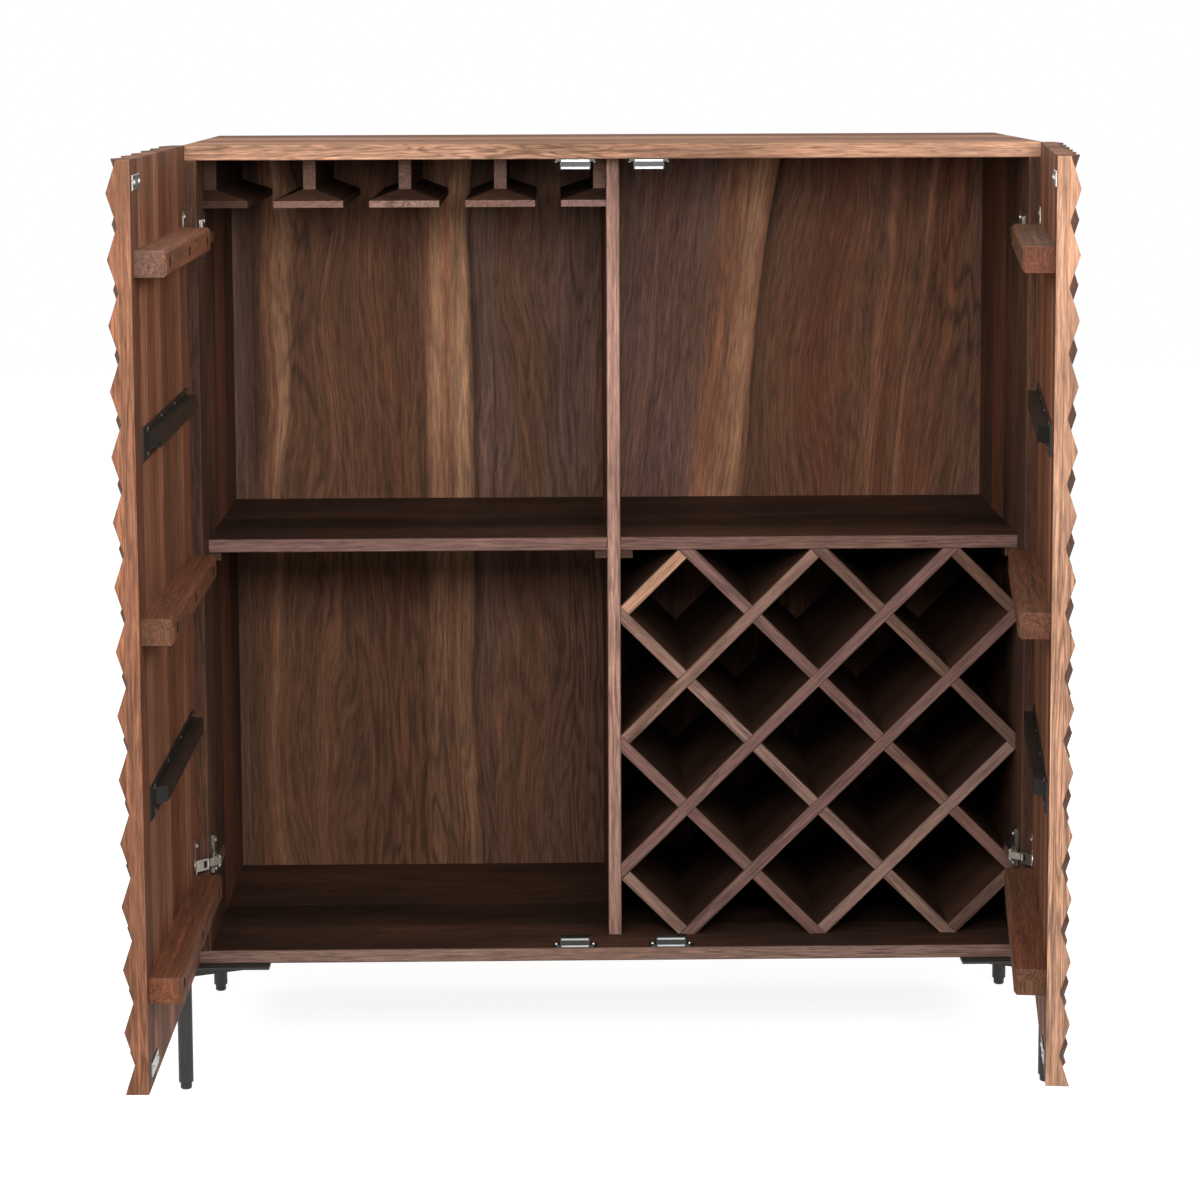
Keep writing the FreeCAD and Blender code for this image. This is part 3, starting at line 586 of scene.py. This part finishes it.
# The number of the first cut of each kind of piece, so that no two show the same figure
CARCASS_CUT = 1
BACK_CUT = 11
SLAT_CUTS = {"rising": 27, "falling": 15}
RAIL_CUT = 40
DOOR_CUT = 60
CUTS_PER_BATTEN = 10


class ARMOIRE_OT_carcass(bpy.types.Operator):
    """Oils the top, bottom, sides, divider and shelves"""
    bl_idname = "armoire.carcass"
    bl_label = "Carcass boards"

    def execute(self, context):
        for cut, (piece, (along, planks, edge, way)) in enumerate(CARCASS.items(), start=CARCASS_CUT):
            grain = Grain(piece, along, Y_AXIS)
            on_top = piece == "top_panel"
            finish = oiled_wood("oiled_sheesham_" + piece, grain, planks, cut, edge, way, bold=on_top,
                                knots=on_top, steady=planks is STAIN_AND_SHADE_FLOOR_PLANKS)
            dress(piece, finish)
        return {"FINISHED"}


class ARMOIRE_OT_back_panels(bpy.types.Operator):
    """Oils the veneered back panels"""
    bl_idname = "armoire.back_panels"
    bl_label = "Back panels"

    def execute(self, context):
        for cut, (side, tones, lean, wander) in enumerate(BACKS, start=BACK_CUT):
            piece = side + "_back_panel"
            turn = Matrix.Rotation(math.radians(lean), 3, "Y")
            grain = Grain(piece, turn @ Z_AXIS, turn @ X_AXIS)
            dress(piece, oiled_wood("oiled_veneer_" + piece, grain, tones, cut, veneer_wander=wander))
        return {"FINISHED"}


class ARMOIRE_OT_wine_rack(bpy.types.Operator):
    """Oils the crossed slats of the wine rack"""
    bl_idname = "armoire.wine_rack"
    bl_label = "Wine rack"

    def execute(self, context):
        low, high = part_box("right_shelf")
        bay_width = high.x - low.x
        bay_height = low.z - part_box("bottom_panel")[1].z
        for kind, rise in (("rising", 1), ("falling", -1)):
            along = Vector((bay_width, 0, rise * bay_height)).normalized()
            for number, tone in enumerate(SLAT_TONES[kind]):
                piece = f"rack_{kind}_slat_{number + 1}"
                grain = Grain(piece, along, Y_AXIS)
                cut = SLAT_CUTS[kind] + number
                dress(piece, oiled_wood("oiled_slat_" + piece, grain, DARK_BOARD, cut, tone, steady=True))
        return {"FINISHED"}


class ARMOIRE_OT_stemware_rack(bpy.types.Operator):
    """Oils the stemware rails and the shelf cleats"""
    bl_idname = "armoire.stemware_rack"
    bl_label = "Stemware rack"

    def execute(self, context):
        pieces = {"shelf_cleats": "heart"}
        for number, (flange_tone, web_tone) in enumerate(zip(FLANGE_TONES_WITH_PAINTED_SHADE, WEB_TONES_WITH_PAINTED_SHADE), start=1):
            pieces[f"stemware_flange_{number}"] = flange_tone
            pieces[f"stemware_web_{number}"] = web_tone
        for cut, (piece, tone) in enumerate(pieces.items(), start=RAIL_CUT):
            grain = Grain(piece, Y_AXIS, X_AXIS)
            dress(piece, oiled_wood("oiled_rail_" + piece, grain, DARK_BOARD, cut, tone, steady=True))
        return {"FINISHED"}


class ARMOIRE_OT_doors(bpy.types.Operator):
    """Oils the carved doors and their battens"""
    bl_idname = "armoire.doors"
    bl_label = "Doors and battens"

    def execute(self, context):
        for cut, (side, door) in enumerate(DOORS.items(), start=DOOR_CUT):
            piece = side + "_door"
            grain = Grain(piece, Z_AXIS, door.run)
            finish = oiled_wood("oiled_carving_" + piece, grain, DOOR_PLANKS, cut, DOOR_EDGE_TONES[side],
                                door.run, knots=True)
            dress(piece, finish)
            for number, (tone, edge) in enumerate(BATTEN_TONES[side], start=1):
                batten = f"{piece}_batten_{number}"
                grain = Grain(batten, door.run, Z_AXIS)
                start, end = span(batten, door.run)
                step = (end - start) / 2 - BATTEN_SCREW_MARGIN
                finish = oiled_wood("oiled_batten_" + batten, grain, plain(tone),
                                    cut + CUTS_PER_BATTEN * number, edge, door.run,
                                    bores=(BATTEN_SCREW_MARGIN, step, BORE_RADIUS))
                dress(batten, finish)
        return {"FINISHED"}


# Coated steel and moulded plastic: the colour, the size of the grit and the roughness
COATS = {
    "powder_coated_steel": ("powder", 1.6 * MILLIMETRE, 0.5),
    "painted_strip_steel": ("paint", 2.4 * MILLIMETRE, 0.38),
    "moulded_catch_plastic": ("plastic", 1.2 * MILLIMETRE, 0.42),
    "moulded_glide_plastic": ("glide", 1.2 * MILLIMETRE, 0.5),
}
# Plated steel: the colour, darker than bright plating as painted shade, the width of the drawn lines and the
# roughness
PLATINGS = {
    "nickel_plated_steel": ("nickel", 1.0 * MILLIMETRE, 0.22),
    "zinc_plated_steel": ("zinc", 1.0 * MILLIMETRE, 0.28),
}
# The finish of each fitting, by words in its name
FITTINGS = {
    "_leg": "powder_coated_steel",
    "leg_glides": "moulded_glide_plastic",
    "straightener": "painted_strip_steel",
    "hinge": "nickel_plated_steel",
    "catch_cases": "moulded_catch_plastic",
    "catch_pole_plates": "zinc_plated_steel",
    "strike_plates": "zinc_plated_steel",
}


class ARMOIRE_OT_fittings(bpy.types.Operator):
    """Finishes the legs, straighteners, hinges and catches"""
    bl_idname = "armoire.fittings"
    bl_label = "Legs and fittings"

    def execute(self, context):
        colours = context.scene.armoire_metal
        finishes = {}
        for make, table in ((powder_coat, COATS), (plated_steel, PLATINGS)):
            for name, (tone, pattern, roughness) in table.items():
                finishes[name] = make(name, getattr(colours, tone), pattern, roughness)
        for piece in frame["nodes"]:
            for words, name in FITTINGS.items():
                if words in piece:
                    dress(piece, finishes[name])
        return {"FINISHED"}


# A screw head has this many sides, and its crown this share of its radius
HEAD_SIDES = 16
CROWN_SHARE = 0.7


def screw_tree():
    """Nodes that set a cross-head screw on every point, turned to face the way that the point says."""
    tree = bpy.data.node_groups.new("cross_head_screws", "GeometryNodeTree")
    sockets = tree.interface
    sockets.new_socket("Sites", in_out="INPUT", socket_type="NodeSocketGeometry")
    for name in ("Head Diameter", "Head Height", "Recess Length", "Recess Width", "Recess Depth"):
        sockets.new_socket(name, in_out="INPUT", socket_type="NodeSocketFloat")
    sockets.new_socket("Seed", in_out="INPUT", socket_type="NodeSocketInt")
    sockets.new_socket("Finish", in_out="INPUT", socket_type="NodeSocketMaterial")
    sockets.new_socket("Screws", in_out="OUTPUT", socket_type="NodeSocketGeometry")
    given = add_node(tree, "NodeGroupInput").outputs
    radius = add_node(tree, "ShaderNodeMath", {0: given["Head Diameter"], 1: 2},
                      operation="DIVIDE").outputs[0]
    crown = add_node(tree, "ShaderNodeMath", {0: radius, 1: CROWN_SHARE}, operation="MULTIPLY").outputs[0]
    head = add_node(tree, "GeometryNodeMeshCone", {
        "Vertices": HEAD_SIDES, "Radius Top": crown, "Radius Bottom": radius,
        "Depth": given["Head Height"]}).outputs["Mesh"]
    # Each arm of the cross is cut by a bar whose middle is at the top of the head
    deep = add_node(tree, "ShaderNodeMath", {0: given["Recess Depth"], 1: 2},
                    operation="MULTIPLY").outputs[0]
    lift = add_node(tree, "ShaderNodeCombineXYZ", {2: given["Head Height"]}).outputs[0]
    arms = []
    for wide, tall in (("Recess Length", "Recess Width"), ("Recess Width", "Recess Length")):
        size = add_node(tree, "ShaderNodeCombineXYZ", {0: given[wide], 1: given[tall], 2: deep}).outputs[0]
        bar = add_node(tree, "GeometryNodeMeshCube", {"Size": size}).outputs["Mesh"]
        arms.append(add_node(tree, "GeometryNodeTransform", {
            "Geometry": bar, "Translation": lift}).outputs[0])
    recessed = add_node(tree, "GeometryNodeMeshBoolean", {"Mesh 1": head, "Mesh 2": arms[0]},
                        operation="DIFFERENCE", solver="EXACT")
    tree.links.new(arms[1], recessed.inputs["Mesh 2"])
    facing = add_node(tree, "GeometryNodeInputNamedAttribute", {"Name": "facing"}, data_type="FLOAT_VECTOR")
    aligned = add_node(tree, "FunctionNodeAlignRotationToVector", {
        "Vector": facing.outputs["Attribute"]}, axis="Z").outputs["Rotation"]
    turn = add_node(tree, "FunctionNodeRandomValue", {"Seed": given["Seed"], 2: 0.0, 3: math.pi / 2})
    spin = add_node(tree, "FunctionNodeAxisAngleToRotation", {
        "Axis": Z_AXIS, "Angle": turn.outputs[1]}).outputs[0]
    turned = add_node(tree, "FunctionNodeRotateRotation", {
        "Rotation": aligned, "Rotate By": spin}, rotation_space="LOCAL").outputs[0]
    set_out = add_node(tree, "GeometryNodeInstanceOnPoints", {
        "Points": given["Sites"], "Instance": recessed.outputs["Mesh"], "Rotation": turned}).outputs[0]
    real = add_node(tree, "GeometryNodeRealizeInstances", {"Geometry": set_out}).outputs[0]
    finished = add_node(tree, "GeometryNodeSetMaterial", {
        "Geometry": real, "Material": given["Finish"]}).outputs[0]
    add_node(tree, "NodeGroupOutput", {"Screws": finished})
    return tree


def set_screws(tree, name, body, sites, material):
    """Makes the screws of one body as one plain mesh. A site is a point and the way the head faces."""
    sizes = bpy.context.scene.armoire_screws
    mesh = bpy.data.meshes.new(name + "_sites")
    mesh.from_pydata([point for point, _ in sites], [], [])
    facing = mesh.attributes.new("facing", "FLOAT_VECTOR", "POINT")
    for element, (_, direction) in zip(facing.data, sites):
        element.vector = direction
    screws = bpy.data.objects.new(name, mesh)
    bpy.context.scene.collection.objects.link(screws)
    modifier = screws.modifiers.new("screws", "NODES")
    modifier.node_group = tree
    values = {"Head Diameter": sizes.head, "Head Height": sizes.height, "Recess Length": sizes.recess_length,
              "Recess Width": sizes.recess_width, "Recess Depth": sizes.recess_depth, "Seed": sizes.seed,
              "Finish": material}
    for socket in tree.interface.items_tree:
        if socket.name in values:
            modifier[socket.identifier] = values[socket.name]
    bpy.context.view_layer.update()
    made = bpy.data.meshes.new_from_object(screws.evaluated_get(bpy.context.evaluated_depsgraph_get()))
    if not made.polygons:
        raise RuntimeError(f"{name} came out empty")
    screws.modifiers.clear()
    screws.data = made
    made.name = name
    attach(screws, body)


# Where screws sit: how deep under the face, and how far from the ends or the middle of what they hold
SCREW_SUNK = 0.2 * MILLIMETRE
STRAIGHTENER_SCREWS = 4
STRAIGHTENER_HINGE_MARGIN = 12 * MILLIMETRE
STRAIGHTENER_FREE_MARGIN = 34 * MILLIMETRE
STRAIGHTENER_FLANGE = 9 * MILLIMETRE
STRAIGHTENER_SHEET = 2 * MILLIMETRE
CUP_SCREW_REACH = 26 * MILLIMETRE
STRIKE_SCREW_REACH = 19 * MILLIMETRE
COUNTERBORE_DEPTH = 22 * MILLIMETRE
PLATE_SCREW_REACH = 18 * MILLIMETRE
EAR_INSET = 4.5 * MILLIMETRE
EAR_THICKNESS = 3 * MILLIMETRE


def solids_of(piece):
    """Splits a piece that holds several solids into the boxes around each of them."""
    mesh = frame["nodes"][piece].data
    boxes = []
    for polygon in mesh.polygons:
        points = [mesh.vertices[index].co for index in polygon.vertices]
        low = Vector(map(min, *points))
        high = Vector(map(max, *points))
        boxes.append([low, high])
    merged = True
    while merged:
        merged = False
        kept = []
        for box in boxes:
            for other in kept:
                if all(box[0][axis] <= other[1][axis] and other[0][axis] <= box[1][axis]
                       for axis in range(3)):
                    other[0] = Vector(map(min, other[0], box[0]))
                    other[1] = Vector(map(max, other[1], box[1]))
                    merged = True
                    break
            else:
                kept.append(box)
        boxes = kept
    return boxes


def on_door(door, run, depth, level):
    """A screw place on a door, the way its head faces included."""
    return door.run * run + door.inward * (depth - SCREW_SUNK) + Z_AXIS * level, door.inward


def straightener_sites(side, door):
    """Screw places on the flanges of a door's straighteners."""
    sites = []
    for number in (1, 2):
        piece = f"{side}_door_straightener_{number}"
        start, end = span(piece, door.run)
        low, high = span(piece, Z_AXIS)
        start += STRAIGHTENER_HINGE_MARGIN
        step = (end - STRAIGHTENER_FREE_MARGIN - start) / (STRAIGHTENER_SCREWS - 1)
        for index in range(STRAIGHTENER_SCREWS):
            for level in (low + STRAIGHTENER_FLANGE / 2, high - STRAIGHTENER_FLANGE / 2):
                sites.append(on_door(door, start + index * step, door.face + STRAIGHTENER_SHEET, level))
    return sites


def door_sites(side, door):
    """Screw places on the battens, hinge cups and strike plates of a door."""
    sites = []
    for number in (1, 2, 3):
        piece = f"{side}_door_batten_{number}"
        start, end = span(piece, door.run)
        low, high = span(piece, Z_AXIS)
        outer = span(piece, door.inward)[1]
        for run in (start + BATTEN_SCREW_MARGIN, (start + end) / 2, end - BATTEN_SCREW_MARGIN):
            sites.append(on_door(door, run, outer - COUNTERBORE_DEPTH, (low + high) / 2))
    for piece, reach, upright in ((side + "_hinge_cups", CUP_SCREW_REACH, True),
                                  (side + "_strike_plates", STRIKE_SCREW_REACH, False)):
        outer = span(piece, door.inward)[1]
        for low, high in solids_of(piece):
            centre = (low + high) / 2
            for way in (-1, 1):
                run = centre.dot(door.run) + (0 if upright else way * reach)
                sites.append(on_door(door, run, outer, centre.z + (way * reach if upright else 0)))
    return sites


def cabinet_sites():
    """Screw places on the hinge plates and the catches."""
    sites = []
    for low, high in solids_of("hinge_plates"):
        centre = (low + high) / 2
        inward = Vector((-math.copysign(1, centre.x), 0, 0))
        face = low.x if centre.x > 0 else high.x
        for way in (-1, 1):
            point = Vector((face - inward.x * SCREW_SUNK, centre.y, centre.z + way * PLATE_SCREW_REACH))
            sites.append((point, inward))
    middle = span("centre_divider", Z_AXIS)
    for low, high in solids_of("catch_cases"):
        centre = (low + high) / 2
        away = -1 if centre.z > sum(middle) / 2 else 1
        ear = high.z - EAR_THICKNESS if away < 0 else low.z + EAR_THICKNESS
        for across in (low.x + EAR_INSET, high.x - EAR_INSET):
            sites.append((Vector((across, centre.y, ear - away * SCREW_SUNK)), Vector((0, 0, away))))
    return sites


class ARMOIRE_OT_screws(bpy.types.Operator):
    """Sets the screws of the cabinet and of each door"""
    bl_idname = "armoire.screws"
    bl_label = "Screws"

    def execute(self, context):
        zinc = bpy.data.materials["zinc_plated_steel"]
        paint = bpy.data.materials["painted_strip_steel"]
        tree = screw_tree()
        set_screws(tree, "cabinet_screws", "cabinet", cabinet_sites(), zinc)
        for side, door in DOORS.items():
            set_screws(tree, door.body + "_screws", door.body, door_sites(side, door), zinc)
            set_screws(tree, side + "_straightener_screws", door.body, straightener_sites(side, door),
                       paint)
        return {"FINISHED"}


def area_light(name, place, aim, size, watts):
    """A soft studio light, given its width and height, that points at a place."""
    light = bpy.data.lights.new(name, "AREA")
    light.shape = "RECTANGLE"
    light.size, light.size_y = size
    light.energy = watts
    made = bpy.data.objects.new(name, light)
    made.location = place
    made.visible_camera = False
    made.rotation_euler = (Vector(aim) - Vector(place)).to_track_quat("-Z", "Y").to_euler()
    bpy.context.scene.collection.objects.link(made)


# Each studio light: its place, the point it looks at, its width and height in metres, and its power setting
LIGHTS = (
    ("front_light", (0, -2.2, 1.42), (0, 0, 1), (1.4, 0.5), "front_power"),
    ("left_light", (-1.05, -1.3, 1.9), (0, -0.2, 1.1), (0.8, 0.8), "side_power"),
    ("right_light", (1.05, -1.3, 1.9), (0, -0.2, 1.1), (0.8, 0.8), "side_power"),
    ("top_light", (0, 0.2, 3.2), (0, 0.2, 0.6), (2, 2), "top_power"),
    ("back_light", (0, 2.6, 0.8), (0, 0.2, 0.6), (1.6, 0.5), "back_power"),
)
WHITE = (1, 1, 1, 1)
# The floor whitens with the distance from the armoire in metres, so that no line shows where it ends
FLOOR_REACH = 9
FLOOR_WHITENING = {"From Min": 0.8, "From Max": 2.6, "To Min": 0.84}
SENSOR_WIDTH = 36


def seen_directly(tree):
    """1 for what the camera sees, mirrored or through glass too, and 0 for what only lights the armoire."""
    rays = add_node(tree, "ShaderNodeLightPath").outputs
    seen = rays["Is Camera Ray"]
    for kind in ("Is Glossy Ray", "Is Transmission Ray"):
        seen = add_node(tree, "ShaderNodeMath", {0: seen, 1: rays[kind]}, operation="MAXIMUM").outputs[0]
    return seen


class ARMOIRE_OT_stage(bpy.types.Operator):
    """Makes the floor, the studio light, the white surroundings and the camera"""
    bl_idname = "armoire.stage"
    bl_label = "Stage"

    def execute(self, context):
        settings = context.scene.armoire_stage
        self.floor(settings)
        self.surroundings(settings)
        for name, place, aim, size, setting in LIGHTS:
            area_light(name, place, aim, size, getattr(settings, setting))
        self.camera(settings)
        context.scene.view_settings.view_transform = "Standard"
        return {"FINISHED"}

    def floor(self, settings):
        """A pale floor that keeps the armoire's shadow."""
        mesh = bpy.data.meshes.new("studio_floor")
        corners = [(x * FLOOR_REACH, y * FLOOR_REACH, 0) for x, y in ((-1, -1), (1, -1), (1, 1), (-1, 1))]
        mesh.from_pydata(corners, [], [range(len(corners))])
        plane = bpy.data.objects.new("studio_floor", mesh)
        bpy.context.scene.collection.objects.link(plane)
        material, tree = new_material("pale_studio_floor")
        spot = add_node(tree, "ShaderNodeTexCoord").outputs["Object"]
        away = add_node(tree, "ShaderNodeVectorMath", {0: spot}, operation="LENGTH").outputs["Value"]
        white = add_node(tree, "ShaderNodeMapRange", {"Value": away, **FLOOR_WHITENING}).outputs[0]
        lift = add_node(tree, "ShaderNodeMath", {0: seen_directly(tree), 1: white},
                        operation="MULTIPLY").outputs[0]
        matt = add_node(tree, "ShaderNodeBsdfDiffuse", {"Color": settings.floor}).outputs[0]
        glow = add_node(tree, "ShaderNodeEmission", {"Color": WHITE, "Strength": lift}).outputs[0]
        both = add_node(tree, "ShaderNodeAddShader", {0: matt, 1: glow}).outputs[0]
        add_node(tree, "ShaderNodeOutputMaterial", {"Surface": both})
        mesh.materials.append(material)

    def surroundings(self, settings):
        """White all around, of which only a little lights the armoire."""
        world = bpy.data.worlds.new("studio")
        bpy.context.scene.world = world
        world.use_nodes = True
        tree = world.node_tree
        tree.nodes.clear()
        strength = add_node(tree, "ShaderNodeMapRange", {
            "Value": seen_directly(tree), "To Min": settings.ambient}).outputs[0]
        white = add_node(tree, "ShaderNodeBackground", {"Color": WHITE, "Strength": strength}).outputs[0]
        add_node(tree, "ShaderNodeOutputWorld", {"Surface": white})

    def camera(self, settings):
        """The camera as it stood for the photograph."""
        yaw, pitch, roll = settings.camera_yaw, settings.camera_pitch, settings.camera_roll
        forward = Vector((math.sin(yaw) * math.cos(pitch), math.cos(yaw) * math.cos(pitch),
                          -math.sin(pitch)))
        level = Vector((math.cos(yaw), -math.sin(yaw), 0))
        upright = level.cross(forward)
        right = level * math.cos(roll) + upright * math.sin(roll)
        up = upright * math.cos(roll) - level * math.sin(roll)
        lens = bpy.data.cameras.new("photo_camera")
        lens.sensor_width = SENSOR_WIDTH
        lens.lens = settings.camera_lens
        lens.shift_x, lens.shift_y = settings.camera_shift
        camera = bpy.data.objects.new("photo_camera", lens)
        turn = Matrix((right, up, -forward)).transposed().to_4x4()
        camera.matrix_world = Matrix.Translation(settings.camera_place) @ turn
        bpy.context.scene.collection.objects.link(camera)
        bpy.context.scene.camera = camera


GROUPS = {
    "armoire_wood": WoodColours,
    "armoire_grain": WoodSizes,
    "armoire_metal": MetalColours,
    "armoire_screws": ScrewSizes,
    "armoire_stage": StageSettings,
}
OPERATORS = (ARMOIRE_OT_carcass, ARMOIRE_OT_back_panels, ARMOIRE_OT_wine_rack, ARMOIRE_OT_stemware_rack,
             ARMOIRE_OT_doors, ARMOIRE_OT_fittings, ARMOIRE_OT_screws, ARMOIRE_OT_stage)


class ARMOIRE_PT_panel(bpy.types.Panel):
    """Lists the steps and their settings"""
    bl_idname = "ARMOIRE_PT_panel"
    bl_label = "Bar Armoire"
    bl_space_type = "VIEW_3D"
    bl_region_type = "UI"
    bl_category = "Armoire"

    def draw(self, context):
        for operator in OPERATORS:
            self.layout.operator(operator.bl_idname)
        for name, group in GROUPS.items():
            box = self.layout.box()
            for setting in group.__annotations__:
                box.prop(getattr(context.scene, name), setting)


def register():
    for made in (*GROUPS.values(), *OPERATORS, ARMOIRE_PT_panel):
        bpy.utils.register_class(made)
    for name, group in GROUPS.items():
        setattr(bpy.types.Scene, name, PointerProperty(type=group))


def unregister():
    for name in GROUPS:
        delattr(bpy.types.Scene, name)
    for made in (ARMOIRE_PT_panel, *reversed(OPERATORS), *reversed(GROUPS.values())):
        bpy.utils.unregister_class(made)


def main():
    register()
    for operator in OPERATORS:
        group, step = operator.bl_idname.split(".")
        getattr(getattr(bpy.ops, group), step)()


if __name__ == "__main__":
    main()
